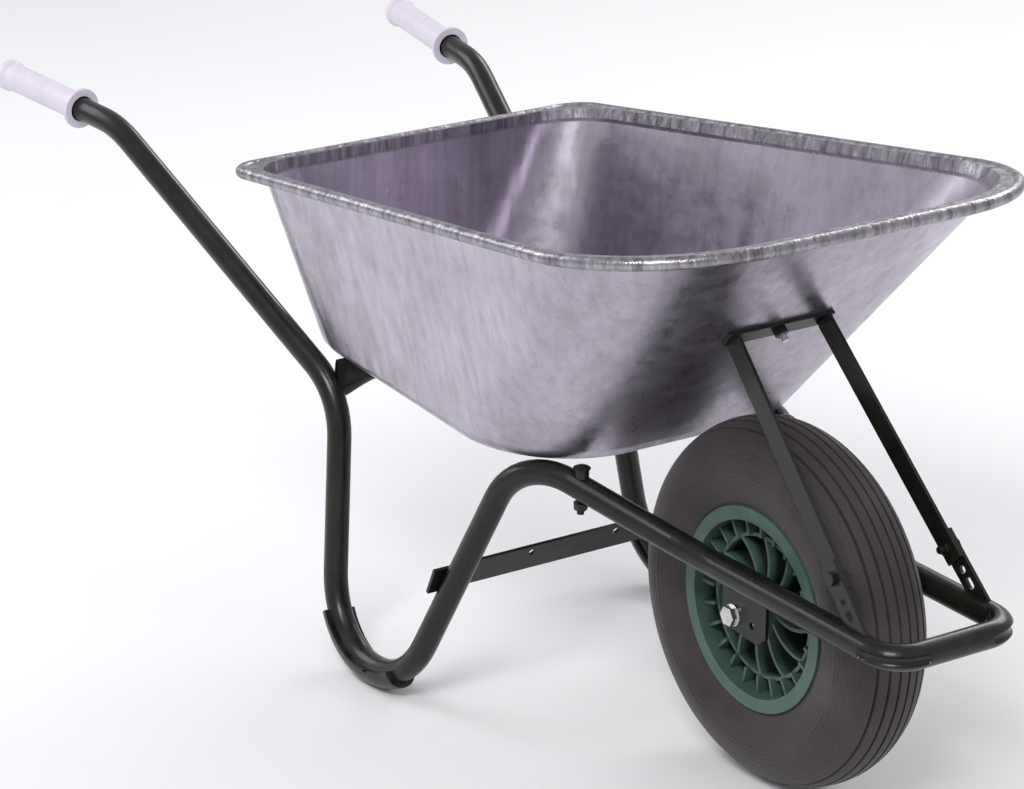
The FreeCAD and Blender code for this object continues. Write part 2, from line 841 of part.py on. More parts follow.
def build_rear_member():
    outer_solids["member"] = member_bar(0.0)
    bar = outer_solids["member"].cut(member_bar(d.member_wall.value))
    for name, side in SIDES.items():
        bar = bar.cut(outer_solids[name])
        bar = bar.cut(bore(*rear_floor_bolt(side), 6 * d.member_radius.value))
    keep("rear_cross_member", plain("rear_cross_member", bar))


def build_leg_brace():
    """Flat bar across the back of the two front legs, leaning with them."""
    foot, top = tube_points(1)[4:6]
    centre = foot + (top - foot) * ((d.brace_height.value - foot.z) / (top.z - foot.z))
    up = Vector(top.x - foot.x, 0, top.z - foot.z).normalize()
    back = Vector(-up.z, 0, up.x)
    half_length = centre.y + d.tube_radius.value + d.brace_overhang.value
    bar = doc.addObject("Part::Box", "leg_brace_bar")
    bar.Width = 2.0 * half_length
    bind(bar, Length=d.brace_thickness, Height=d.brace_width)
    move(bar, d.tube_radius, -half_length, d.brace_width * -0.5)
    holes = []
    for shift in (d.brace_hole_half_spacing, d.brace_hole_half_spacing * -1.0):
        hole = doc.addObject("Part::Cylinder", "brace_hole")
        bind(hole, Radius=d.brace_hole_radius, Height=d.brace_thickness + d.tube_radius)
        across = Rotation(Vector(0, 1, 0), 90)
        level = d.brace_width / 2.0 - d.brace_hole_drop
        holes.append(move(hole, 0.0, shift + d.brace_hole_offset, level, across))
    brace = cut("leg_brace", bar, fuse("brace_holes", holes))
    brace.Placement = Placement(
        Vector(centre.x, 0, centre.z), Rotation(back, Vector(0, -1, 0), up, "XYZ"))
    keep("leg_brace", brace)


def side_tube_height(x):
    """The straight front run's centreline height."""
    bend, bumper = tube_points(1)[6:8]
    return bend.z + (bumper.z - bend.z) * (x - bend.x) / (bumper.x - bend.x)


def build_axle_bracket(name, side):
    """Plate welded inside the side tube, with a nose that carries a spare hole."""
    rise = side_tube_height(axle_x.value) - d.tyre_radius.value + d.bracket_lap.value
    fall = side_tube_height(axle_x.value + d.bracket_front.value) - side_tube_height(axle_x.value)
    rear = d.bracket_rear * -1.0
    nose = d.bracket_front - d.bracket_nose_width
    plate = pad(name + "_axle_bracket", [
        (rear, rise),
        (rear, d.bracket_drop * -1.0),
        (nose, d.bracket_nose_drop * -1.0),
        (d.bracket_front, d.bracket_nose_drop * -0.5),
        (d.bracket_front, rise + fall),
    ], d.bracket_thickness, holes=[
        (Dim("0", 0.0), Dim("0", 0.0), d.axle_radius + d.bolt_gap),
        (d.bracket_hole_forward, d.bracket_hole_drop * -1.0, d.bracket_hole_radius),
    ])
    offset = d.side_half_spacing - d.tube_radius - d.bracket_thickness / 2.0
    move(plate, axle_x, offset * side, ground_to_axle)
    keep(name + "_axle_bracket", plate)


# ---------------------------------------------------------------- stays and crossbar

def front_middle(section):
    """The point of a tray section that is furthest forwards."""
    middles = [edge.valueAt((edge.FirstParameter + edge.LastParameter) / 2) for edge in section.Edges]
    return max(middles, key=lambda point: point.x)


def wall_line(inset, lift, top_share):
    """The middle of the front wall, from its lower edge to its top."""
    depth = (d.rim_rear_depth.value + d.rim_front_depth.value) / 2.0
    edge = d.floor_edge_radius.value - inset
    low = front_middle(tray_section(edge / depth, inset, lift, 0))
    return low, front_middle(tray_section(top_share, inset, 0.0, 0))


def front_wall():
    """Where the crossbar's middle touches the tray: the point, up the wall, and outwards."""
    low, high = wall_line(0.0, 0.0, WALL_TOP)
    along = (high - low).normalize()
    height = floor_line()[1].z + d.stay_rise.value
    point = low + (high - low) * ((height - low.z) / (high.z - low.z))
    return point, along, Vector(along.z, 0, -along.x)


def front_sheet():
    """Thickness of the front wall at the crossbar's bolt, square to its outer face."""
    sheet = d.sheet_thickness.value
    low, high = wall_line(sheet, sheet, HOLLOW_TOP)
    inner = Vector(high.z - low.z, 0, low.x - high.x)
    point, along, outward = front_wall()
    return (point - low).dot(inner) / outward.dot(inner)


def stay_line(side):
    """Placement at the tab's foot on the side tube, +X up the stay, +Y across it; and its length."""
    wall, along, outward = front_wall()
    top = wall + outward * d.crossbar_thickness.value
    top.y = side * d.stay_top_half_spacing.value
    foot_x = axle_x.value + d.bumper_reach.value - d.stay_foot_back.value
    foot = Vector(
        foot_x, side * d.side_half_spacing.value, side_tube_height(foot_x) + d.tube_radius.value)
    up = (top - foot).normalize()
    across = (Vector(0, 1, 0) - up * up.y).normalize()
    return Placement(foot, Rotation(up, across, up.cross(across), "XYZ")), (top - foot).Length


def wall_block():
    """Fills the space behind the crossbar's outer face, to cope the stays against it."""
    wall, along, outward = front_wall()
    block = doc.addObject("Part::Box", "crossbar_plane")
    bind(block, Length=d.stay_width * 2.0, Width=d.rim_front_half_width * 2.0, Height=d.stay_width * 4.0)
    face = Placement(wall, Rotation(outward, Vector(0, 1, 0), along, "XYZ"))
    shift = Vector(
        d.crossbar_thickness.value - 2.0 * d.stay_width.value,
        -d.rim_front_half_width.value, -2.0 * d.stay_width.value)
    block.Placement = face.multiply(Placement(shift, Rotation()))
    return block


def build_stay(name, side, block):
    line, length = stay_line(side)
    start = d.tab_length - d.tab_lap
    bar = doc.addObject("Part::Box", name + "_stay_bar")
    bar.Length = length - start.value + d.stay_width.value
    bind(bar, Width=d.stay_thickness, Height=d.stay_width)
    across = d.stay_thickness.value * (-side - 0.5)
    corner = Vector(start.value, across, -d.stay_width.value / 2.0)
    bar.Placement = line.multiply(Placement(corner, Rotation()))
    hole = doc.addObject("Part::Cylinder", name + "_stay_hole")
    bind(hole, Radius=d.small_bolt_radius + d.bolt_gap, Height=d.stay_thickness * 4.0)
    middle = Vector(start.value + d.tab_lap.value / 2.0, -2.0 * d.stay_thickness.value, 0)
    hole.Placement = line.multiply(Placement(middle, ALONG_Y))
    keep(name + "_stay", cut(name + "_stay", bar, fuse(name + "_stay_cuts", [hole, block])))


def slot_tool(name, x, radius, length, depth):
    """A slot along X through a plate that lies across Y."""
    reach = length / 2.0 - radius
    ends = [
        rod_y("{}_end_{}".format(name, index), radius, depth * -0.5, depth, x + reach * sign)
        for index, sign in enumerate((-1.0, 1.0))
    ]
    middle = doc.addObject("Part::Box", name + "_middle")
    bind(middle, Length=reach * 2.0, Width=depth, Height=radius * 2.0)
    move(middle, x - reach, depth * -0.5, radius * -1.0)
    return fuse(name, ends + [middle])


def build_tab(name, side):
    """Flat tab that stands on the side tube; its hole and slot are for other stay lengths."""
    line, length = stay_line(side)
    half = d.tab_width / 2.0
    bolt = d.tab_length - d.tab_lap / 2.0
    plate = pad(name + "_tab_plate", [
        (d.tab_sink * -1.0, half * -1.0),
        (d.tab_length, half * -1.0),
        (d.tab_length, half),
        (d.tab_sink * -1.0, half),
    ], d.stay_thickness, holes=[
        (bolt, Dim("0", 0.0), d.small_bolt_radius + d.bolt_gap),
        (d.tab_hole_rise, Dim("0", 0.0), d.tab_hole_radius),
    ])
    slot = slot_tool(
        name + "_tab_slot", d.tab_slot_rise, d.tab_hole_radius, d.tab_slot_length,
        d.stay_thickness * 2.0)
    slotted = cut(name + "_tab_slotted", plate, slot)
    slotted.Placement = line
    tube = plain(name + "_tab_cope", outer_solids[name])
    keep(name + "_stay_tab", cut(name + "_stay_tab", slotted, tube))


def build_stay_bolts():
    """One bolt and nut through each stay and its tab: heads outside, nuts between the stays."""
    bolts = []
    nuts = []
    for name, side in SIDES.items():
        line, length = stay_line(side)
        inwards = line.Rotation.multVec(Vector(0, -side, 0))
        along = d.tab_length.value - d.tab_lap.value / 2.0
        outer = line.multVec(Vector(along, side * d.stay_thickness.value / 2.0, 0))
        nut_face = outer + inwards * (2.0 * d.stay_thickness.value)
        shank = doc.addObject("Part::Cylinder", name + "_stay_shank")
        bind(shank, Radius=d.small_bolt_radius,
             Height=d.stay_thickness * 2.0 + d.small_nut_height + d.bolt_tail)
        shank.Placement = aim(outer, inwards)
        head = hex_head(name + "_stay_head", outer, inwards * -1.0)
        bolts.append(fuse(name + "_stay_bolt", [shank, head]))
        nuts.append(hex_nut(name + "_stay_nut", nut_face, inwards))
    keep("stay_bolts", group("stay_bolts", bolts))
    keep("stay_nuts", group("stay_nuts", nuts))


def build_crossbar():
    """Flat bar on the tray's front wall, across the tops of the stays."""
    wall, along, outward = front_wall()
    reach = d.stay_top_half_spacing + d.stay_thickness / 2.0 + d.crossbar_overhang
    bar = doc.addObject("Part::Box", "crossbar_bar")
    bind(bar, Length=d.crossbar_thickness, Width=reach * 2.0, Height=d.crossbar_width)
    move(bar, 0.0, reach * -1.0, d.crossbar_width * -0.5)
    hole = doc.addObject("Part::Cylinder", "crossbar_hole")
    bind(hole, Radius=d.small_bolt_radius + d.bolt_gap, Height=d.crossbar_thickness)
    hole.Placement = aim(Vector(), Vector(1, 0, 0))
    crossbar = cut("tray_crossbar", bar, hole)
    crossbar.Placement = Placement(wall, Rotation(outward, Vector(0, 1, 0), along, "XYZ"))
    keep("tray_crossbar", crossbar)
    grip = d.crossbar_thickness + d.small_nut_height + d.bolt_tail * 1.6
    keep("tray_front_bolt", dome_bolt(
        "tray_front_bolt", wall, outward, grip, d.wall_bolt_seat + front_sheet()))
    face = wall + outward * d.crossbar_thickness.value
    keep("tray_front_nut", hex_nut("tray_front_nut", face, outward))


# ---------------------------------------------------------------- axle

def build_axle():
    """Bolt, washers, nut and the two spacers that hold the hub between the brackets."""
    plate = d.side_half_spacing - d.tube_radius
    under_head = plate + d.axle_washer_thickness
    thread = d.axle_nut_height + d.bolt_tail
    shank = rod_y(
        "axle_shank", d.axle_radius, under_head * -1.0, under_head * 2.0 + thread,
        axle_x, ground_to_axle)
    head = hexagon_y(
        "axle_head", d.axle_head_width, (under_head + d.axle_head_height) * -1.0,
        d.axle_head_height, axle_x, ground_to_axle)
    keep("axle_bolt", fuse("axle_bolt", [shank, head]))
    blank = hexagon_y(
        "axle_nut_blank", d.axle_head_width, under_head, d.axle_nut_height, axle_x, ground_to_axle)
    hole = rod_y("axle_nut_thread", d.axle_radius, under_head, d.axle_nut_height, axle_x, ground_to_axle)
    keep("axle_nut", cut("axle_nut", blank, hole))
    washers = []
    spacers = []
    inside = d.side_half_spacing - d.tube_radius - d.bracket_thickness
    bush_face = d.hub_length / 2.0 + d.bush_flange_thickness + d.side_gap
    for name, start, spacer_start in (
            ("left", plate, bush_face), ("right", under_head * -1.0, inside * -1.0)):
        washers.append(ring_y(
            name + "_axle_washer", d.axle_washer_radius, d.axle_radius + d.bolt_gap,
            start, d.axle_washer_thickness))
        spacers.append(ring_y(
            name + "_axle_spacer", d.axle_radius + d.running_gap + d.spacer_wall,
            d.axle_radius + d.running_gap, spacer_start, inside - bush_face))
    keep("axle_washers", group("axle_washers", washers))
    keep("axle_spacers", group("axle_spacers", spacers))


def ring_y(name, outer, inner, start, length):
    """A ring round the axle."""
    disc = rod_y(name + "_disc", outer, start, length, axle_x, ground_to_axle)
    hole = rod_y(name + "_bore", inner, start, length, axle_x, ground_to_axle)
    return cut(name, disc, hole)


# ---------------------------------------------------------------- wheel

def on_axle(obj):
    """Turn a piece built about +Z so that it lies on the axle."""
    return move(obj, axle_x, 0.0, ground_to_axle, ALONG_Y)


def build_tyre():
    """Ribbed tyre: two beads on the rim, bulged walls and a grooved crown."""
    seat = d.bead_seat_radius
    flange = d.flange_radius
    belly = (d.tyre_radius + d.bead_seat_radius) / 2.0
    shoulder = d.tyre_radius - d.tread_thickness * 1.5
    half = d.tyre_width / 2.0
    bead = d.rim_width / 2.0
    inner_half = half - d.tyre_wall
    tyre = revolve("tyre_casing", [
        (seat, bead * -1.0),
        (flange, bead * -1.0, 2.5),
        (belly, half * -1.0, 4.0),
        (shoulder, half * -0.7, 3.6),
        (d.tyre_radius, 0.0, 3.6),
        (shoulder, half * 0.7, 4.0),
        (belly, half, 2.5),
        (flange, bead),
        (seat, bead),
        (seat, bead - d.bead_width, -1.5),
        (belly, inner_half, -4.0),
        (shoulder - d.tyre_wall, inner_half * 0.7, -3.2),
        (crown_radius(), 0.0, -3.2),
        (shoulder - d.tyre_wall, inner_half * -0.7, -4.0),
        (belly, inner_half * -1.0, -1.5),
        (seat, d.bead_width - bead),
    ])
    on_axle(tyre)
    grooves = []
    for index in range(GROOVE_COUNT):
        place = d.tread_groove_pitch * (index - (GROOVE_COUNT - 1) / 2.0)
        share = place.value / half.value
        fall = (d.tyre_radius - belly) * (1.0 - math.sqrt(1.0 - share * share))
        grooves.append(ring_y(
            "groove_{}".format(index + 1), d.tyre_radius + 1.0,
            d.tyre_radius - fall - d.tread_groove_depth,
            place - d.tread_groove_width / 2.0, d.tread_groove_width))
    keep("tyre", cut("tyre", tyre, fuse("tread_grooves", grooves)))


def crown_radius():
    return d.tyre_radius - d.tread_thickness


def build_inner_tube():
    middle = (crown_radius() + d.bead_seat_radius) / 2.0
    section = (crown_radius() - d.bead_seat_radius) / 2.0 - d.tube_gap
    skin = []
    for name, radius in (("outside", section), ("inside", section - d.tube_wall)):
        torus = doc.addObject("Part::Torus", "inner_tube_" + name)
        bind(torus, Radius1=middle, Radius2=radius)
        skin.append(on_axle(torus))
    keep("inner_tube", cut("inner_tube", *skin))


def around_axle(angle, x, y, z):
    """Placement turned round the axle by an angle, from a place with its X away from the axle."""
    centre = Placement(Vector(axle_x.value, 0, ground_to_axle.value), Rotation(Vector(0, 1, 0), angle))
    return centre.multiply(Placement(Vector(x, y, z), Rotation()))


def build_rim():
    """Moulded rim: flanged barrel, short ribs to an inner ring, curved spokes and the hub."""
    bead = d.rim_width / 2.0
    face = bead + d.flange_width
    inside = d.bead_seat_radius - d.rim_wall
    barrel = revolve("rim_barrel", [
        (inside, face * -1.0),
        (d.flange_radius, face * -1.0),
        (d.flange_radius, bead * -1.0),
        (d.bead_seat_radius, bead * -1.0),
        (d.bead_seat_radius, bead),
        (d.flange_radius, bead),
        (d.flange_radius, face),
        (inside, face),
    ])
    ring_inside = d.ring_radius - d.ring_wall
    ring = ring_y("rim_ring", d.ring_radius, ring_inside, d.web_width * -0.5, d.web_width)
    ribs = []
    for index in range(RIB_COUNT):
        rib = doc.addObject("Part::Box", "rim_rib_{}".format(index + 1))
        bind(rib, Length=inside - ring_inside, Width=d.rib_width, Height=d.rib_thickness)
        rib.Placement = around_axle(
            index * 360.0 / RIB_COUNT, d.ring_radius.value - d.ring_wall.value / 2.0,
            -d.rib_width.value / 2.0, -d.rib_thickness.value / 2.0)
        ribs.append(rib)
    solid = fuse("rim_solid", [on_axle(barrel), ring, build_spokes()] + ribs)
    valve = valve_rod("valve_hole", d.valve_radius + d.bolt_gap / 2.0, d.valve_length)
    keep("wheel_rim", cut("wheel_rim", solid, valve))


def build_spokes():
    """The hub with its curved spokes, padded across the wheel."""
    body, hub = new_sketch("rim_spokes", "XZ_Plane")
    zero = Dim("0", 0.0)
    draw_hole(hub, zero, zero, d.hub_radius)
    draw_hole(hub, zero, zero, d.bush_radius)
    pad_sketch(body, hub, d.hub_length)
    blade = body.newObject("Sketcher::SketchObject", "spoke_outline")
    blade.AttachmentSupport = (origin_plane(body, "XZ_Plane"), [""])
    blade.MapMode = "FlatFace"
    half = d.spoke_thickness / 2.0
    start = (d.hub_radius + d.bush_radius) / 2.0
    end = d.ring_radius - d.ring_wall / 2.0
    bow = d.spoke_bow.value
    draw_outline(blade, [
        (start, half * -1.0, bow),
        (end, half * -1.0),
        (end, half, -bow),
        (start, half),
    ])
    spoke = pad_sketch(body, blade, d.web_width)
    pattern = body.newObject("PartDesign::PolarPattern", "spokes")
    pattern.Originals = [spoke]
    axis = next(line for line in body.Origin.OriginFeatures if line.Role == "Y_Axis")
    pattern.Axis = (axis, [""])
    pattern.Angle = 360.0
    pattern.Occurrences = SPOKE_COUNT
    body.Tip = pattern
    doc.recompute()
    return move(body, axle_x, 0.0, ground_to_axle)


def valve_rod(name, radius, length, outset=0.0):
    """A rod from the inner tube towards the axle, midway between two ribs."""
    rod = doc.addObject("Part::Cylinder", name)
    bind(rod, Radius=radius, Height=length)
    start = d.bead_seat_radius.value + d.tube_gap.value - outset
    place = around_axle(-90.0 - 180.0 / RIB_COUNT, start, 0.0, 0.0)
    rod.Placement = place.multiply(Placement(Vector(), Rotation(Vector(0, 1, 0), -90)))
    return rod


def build_valve():
    """Valve stem through the rim, with a cap over its end."""
    keep("valve_stem", valve_rod("valve_stem", d.valve_radius, d.valve_length))
    outset = d.valve_length.value + d.valve_cap_wall.value - d.valve_cap_length.value
    blank = valve_rod("valve_cap_blank", d.valve_cap_radius, d.valve_cap_length, outset)
    inside = valve_rod("valve_cap_inside", d.valve_radius, d.valve_length)
    keep("valve_cap", cut("valve_cap", blank, inside))


def build_bushes():
    """Flanged bushes pressed into both ends of the hub."""
    bushes = []
    base = (d.hub_length / 2.0 - d.bush_length).value
    bore_radius = d.axle_radius + d.running_gap
    flange = d.bush_length + d.bush_flange_thickness
    for name, side in SIDES.items():
        bush = revolve(name + "_bush", [
            (bore_radius, 0.0),
            (d.bush_radius, 0.0),
            (d.bush_radius, d.bush_length),
            (d.bush_flange_radius, d.bush_length),
            (d.bush_flange_radius, flange),
            (bore_radius, flange),
        ])
        start = Vector(axle_x.value, side * base, ground_to_axle.value)
        bush.Placement = aim(start, Vector(0, side, 0))
        bushes.append(bush)
    keep("hub_bushes", group("hub_bushes", bushes))


# ---------------------------------------------------------------- the whole barrow

for side_name, side_sign in SIDES.items():
    build_side_tube(side_name, side_sign)
build_rear_member()
build_tray()
build_floor_fasteners()
build_leg_brace()
build_crossbar()
coping_block = wall_block()
for side_name, side_sign in SIDES.items():
    build_grip(side_name, side_sign)
    build_shoe(side_name, side_sign)
    build_axle_bracket(side_name, side_sign)
    build_stay(side_name, side_sign, coping_block)
    build_tab(side_name, side_sign)
build_stay_bolts()
build_axle()
build_tyre()
build_inner_tube()
build_rim()
build_valve()
build_bushes()
doc.recompute()

for item in doc.Objects:
    if "Invalid" in item.State or "Error" in item.State:
        raise RuntimeError("{} did not build: {}".format(item.Label, item.State))
for node, item in parts.items():
    if item.Shape.isNull() or not item.Shape.isValid():
        raise RuntimeError("{} has no sound shape".format(node))

os.makedirs("parts", exist_ok=True)
for node, item in parts.items():
    item.Shape.exportStep("parts/{}.step".format(node))
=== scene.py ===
"""Looks for the wheelbarrow: one procedural finish per material slot, a pale floor and studio light."""

import json
from math import radians

import bpy
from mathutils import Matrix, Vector


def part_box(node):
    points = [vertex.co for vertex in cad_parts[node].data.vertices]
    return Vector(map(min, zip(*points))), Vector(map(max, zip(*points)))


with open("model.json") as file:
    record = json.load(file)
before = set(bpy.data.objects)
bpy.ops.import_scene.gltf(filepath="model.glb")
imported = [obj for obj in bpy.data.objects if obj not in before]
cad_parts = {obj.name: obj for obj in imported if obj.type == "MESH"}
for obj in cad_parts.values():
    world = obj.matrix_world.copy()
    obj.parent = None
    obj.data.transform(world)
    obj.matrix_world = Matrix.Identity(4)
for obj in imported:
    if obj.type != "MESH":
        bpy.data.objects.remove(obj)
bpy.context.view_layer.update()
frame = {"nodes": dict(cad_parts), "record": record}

# ---------------------------------------------------------------- places

AXLE = (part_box("axle_bolt")[0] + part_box("axle_bolt")[1]) / 2
TRAY_LOW, TRAY_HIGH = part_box("tray")


def rim_level(end):
    """Mean height of the rim at the tray's rear or front end."""
    heights = [v.co.z for v in frame["nodes"]["tray"].data.vertices if abs(v.co.x - end) < 0.002]
    return sum(heights) / len(heights)


REAR_LEVEL, FRONT_LEVEL = rim_level(TRAY_LOW.x), rim_level(TRAY_HIGH.x)
RIM_SLOPE = (FRONT_LEVEL - REAR_LEVEL) / (TRAY_HIGH.x - TRAY_LOW.x)
RIM_HEIGHT = REAR_LEVEL - RIM_SLOPE * TRAY_LOW.x
RIM_SHADE_BAND = (-0.0115, -0.0075)       # below the bead's centre, where the painted shade band on the rim bead fades in

CAMERA_PLACE = (3.43964, -2.4397, 1.7753)
CAMERA_AZIMUTH = 55.12
CAMERA_PITCH = 19.23
LENS_MM = 138.66
SENSOR_MM = 36.0


# ---------------------------------------------------------------- node helpers

class Look:
    """A material under construction: its shader, and short ways to add texture nodes."""

    def __init__(self, name, **sockets):
        self.material = bpy.data.materials.new(name)
        self.material.use_nodes = True
        self.tree = self.material.node_tree
        self.shader = self.tree.nodes["Principled BSDF"]
        for socket, value in sockets.items():
            self.shader.inputs[socket.replace("_", " ")].default_value = value

    def node(self, kind, **values):
        made = self.tree.nodes.new(kind)
        for key, value in values.items():
            setattr(made, key, value)
        return made

    def link(self, source, target):
        self.tree.links.new(source, target)

    def feed(self, source, target):
        """Link a socket, or set a plain value."""
        if isinstance(source, bpy.types.NodeSocket):
            self.link(source, target)
        else:
            target.default_value = source

    def place(self, scale=(1, 1, 1), centre=(0, 0, 0), turn=(0, 0, 0)):
        """Object coordinates, moved so that centre is the origin, then stretched."""
        where = self.node("ShaderNodeTexCoord").outputs["Object"]
        shift = self.node("ShaderNodeVectorMath", operation="SUBTRACT")
        self.link(where, shift.inputs[0])
        shift.inputs[1].default_value = centre
        stretch = self.node("ShaderNodeMapping")
        stretch.inputs["Rotation"].default_value = turn
        stretch.inputs["Scale"].default_value = scale
        self.link(shift.outputs[0], stretch.inputs["Vector"])
        return stretch.outputs[0]

    def noise(self, where, scale, detail=4.0, rough=0.55, distortion=0.0):
        made = self.node("ShaderNodeTexNoise")
        self.link(where, made.inputs["Vector"])
        made.inputs["Scale"].default_value = scale
        made.inputs["Detail"].default_value = detail
        made.inputs["Roughness"].default_value = rough
        made.inputs["Distortion"].default_value = distortion
        return made.outputs["Fac"]

    def cells(self, where, scale):
        """A random shade of grey for each cell of a cell pattern."""
        made = self.node("ShaderNodeTexVoronoi", feature="F1")
        self.link(where, made.inputs["Vector"])
        made.inputs["Scale"].default_value = scale
        grey = self.node("ShaderNodeRGBToBW")
        self.link(made.outputs["Color"], grey.inputs[0])
        return grey.outputs[0]

    def math(self, operation, first, second=0.0, clamp=False):
        made = self.node("ShaderNodeMath", operation=operation, use_clamp=clamp)
        self.feed(first, made.inputs[0])
        self.feed(second, made.inputs[1])
        return made.outputs[0]

    def spread(self, value, low, high, to_low=0.0, to_high=1.0):
        """value remapped from low..high to to_low..to_high, clamped."""
        made = self.node("ShaderNodeMapRange")
        self.link(value, made.inputs["Value"])
        made.inputs["From Min"].default_value = low
        made.inputs["From Max"].default_value = high
        made.inputs["To Min"].default_value = to_low
        made.inputs["To Max"].default_value = to_high
        return made.outputs[0]

    def mix(self, share, first, second):
        """Colour between first and second."""
        made = self.node("ShaderNodeMix", data_type="RGBA")
        self.feed(share, made.inputs["Factor"])
        for index, colour in ((6, first), (7, second)):
            linked = isinstance(colour, bpy.types.NodeSocket)
            self.feed(colour if linked else (*colour, 1.0), made.inputs[index])
        return made.outputs[2]

    def axis_value(self, where, axis):
        made = self.node("ShaderNodeSeparateXYZ")
        self.link(where, made.inputs[0])
        return made.outputs[axis]

    def colour(self, source):
        self.link(source, self.shader.inputs["Base Color"])

    def roughness(self, source):
        self.link(source, self.shader.inputs["Roughness"])

    def bump(self, *layers):
        """layers are (height, strength, distance in metres), coarse to fine."""
        normal = None
        for height, strength, distance in layers:
            made = self.node("ShaderNodeBump")
            made.inputs["Strength"].default_value = strength
            made.inputs["Distance"].default_value = distance
            self.link(height, made.inputs["Height"])
            if normal:
                self.link(normal, made.inputs["Normal"])
            normal = made.outputs[0]
        self.link(normal, self.shader.inputs["Normal"])


# ---------------------------------------------------------------- finishes

def galvanised():
    """Pressed zinc-coated sheet: draw marks down the walls, soft spangle, painted highlights on the
    broad bulges, painted shade along the drawing wrinkles, and a crimped rim bead darkened with painted
    shade.
    """
    look = Look("galvanised_sheet", Metallic=1.0)
    plain = look.place()
    upright = look.place(scale=(1.0, 1.0, 0.06))
    streaks = look.noise(upright, scale=70.0, detail=6.0, rough=0.65)
    folds = look.noise(upright, scale=26.0, detail=2.0, rough=0.4, distortion=0.2)
    draws = look.noise(look.place(scale=(1.0, 1.0, 0.03)), scale=130.0, detail=3.0, rough=0.6)
    broad = look.noise(upright, scale=9.0, detail=3.0, rough=0.5)
    spangle = look.cells(plain, scale=120.0)
    blotch = look.noise(plain, scale=7.0, detail=4.0, rough=0.6)
    turned = look.place(scale=(0.5, 0.5, 1.0), turn=(0.3, 0.5, 0.2))
    scuff = look.noise(turned, scale=55.0, detail=4.0, rough=0.6, distortion=0.4)
    across = look.axis_value(plain, 0)
    rim_plane = look.math("ADD", look.math("MULTIPLY", across, RIM_SLOPE), RIM_HEIGHT)
    above = look.math("SUBTRACT", look.axis_value(plain, 2), rim_plane)
    rim = look.spread(above, *RIM_SHADE_BAND)
    crimps = look.noise(upright, scale=95.0, detail=3.0, rough=0.7, distortion=0.4)
    tint = look.mix(look.spread(blotch, 0.3, 0.7), (0.40, 0.36, 0.43), (0.56, 0.52, 0.60))
    tint = look.mix(look.spread(streaks, 0.42, 0.75, 0.0, 0.45), tint, (0.24, 0.21, 0.25))
    # painted highlight: lighter colour on the broad bulges of the walls
    tint = look.mix(look.spread(broad, 0.55, 0.8, 0.0, 0.4), tint, (0.66, 0.63, 0.71))
    worked = look.spread(across, 0.0, 0.16, 1.0, 0.12)
    # painted shade: darker colour along the drawing wrinkles, full below x = 0 and faint beyond x = 0.16
    fold_shade = look.math("MULTIPLY", look.spread(folds, 0.54, 0.66, 0.0, 0.3), worked)
    tint = look.mix(fold_shade, tint, (0.27, 0.24, 0.29))
    tint = look.mix(look.spread(draws, 0.58, 0.70, 0.0, 0.3), tint, (0.24, 0.21, 0.25))
    tint = look.mix(look.spread(spangle, 0.0, 1.0, 0.0, 0.10), tint, (0.80, 0.78, 0.84))
    # painted shade: the rolled rim bead coloured dark grey, broken up by the crimp noise
    rim_shade = look.mix(look.spread(crimps, 0.35, 0.65), (0.12, 0.11, 0.12), (0.44, 0.42, 0.46))
    look.colour(look.mix(look.math("MULTIPLY", rim, 0.85), tint, rim_shade))
    look.roughness(look.spread(look.math("ADD", streaks, scuff), 0.7, 1.4, 0.24, 0.44))
    fold_height = look.math("MULTIPLY", folds, worked)
    rim_height = look.math("MULTIPLY", crimps, rim)
    look.bump((broad, 0.30, 0.004), (fold_height, 0.6, 0.004), (rim_height, 0.8, 0.0018),
              (streaks, 0.3, 0.0005), (scuff, 0.08, 0.0001))
    return look.material


def frame_paint():
    """Thick glossy dark green-black enamel with orange peel, dust and small chips."""
    look = Look("frame_enamel", Coat_Weight=0.15, Coat_Roughness=0.12, Specular_IOR_Level=0.3)
    plain = look.place()
    peel = look.noise(plain, scale=420.0, detail=2.0)
    dust = look.noise(plain, scale=22.0, detail=5.0, rough=0.65)
    chips = look.noise(look.place(scale=(1.0, 1.0, 0.7)), scale=120.0, detail=3.0, rough=0.7)
    low = look.spread(look.axis_value(plain, 2), 0.0, 0.055, 1.0, 0.0)
    base = look.mix(look.spread(dust, 0.35, 0.7), (0.0045, 0.006, 0.004), (0.011, 0.013, 0.009))
    base = look.mix(look.spread(chips, 0.72, 0.75, 0.0, 0.55), base, (0.09, 0.085, 0.075))
    worn = look.math("MULTIPLY", low, look.spread(dust, 0.45, 0.62), clamp=True)
    look.colour(look.mix(worn, base, (0.05, 0.046, 0.042)))
    look.roughness(look.spread(dust, 0.3, 0.75, 0.22, 0.42))
    look.bump((dust, 0.12, 0.001), (peel, 0.10, 0.00025), (chips, 0.08, 0.0002))
    return look.material


def grip_plastic():
    """Pale lilac moulded plastic with a fine satin texture and a little grime."""
    look = Look("grip_plastic", Subsurface_Weight=0.08, Subsurface_Scale=0.004, Specular_IOR_Level=0.45)
    plain = look.place()
    grime = look.noise(plain, scale=30.0, detail=6.0, rough=0.7)
    skin = look.noise(plain, scale=900.0, detail=2.0)
    look.colour(look.mix(look.spread(grime, 0.5, 0.8, 0.0, 0.5), (0.66, 0.61, 0.70), (0.47, 0.43, 0.49)))
    look.roughness(look.spread(grime, 0.3, 0.7, 0.38, 0.55))
    look.bump((grime, 0.06, 0.0008), (skin, 0.12, 0.0001))
    return look.material


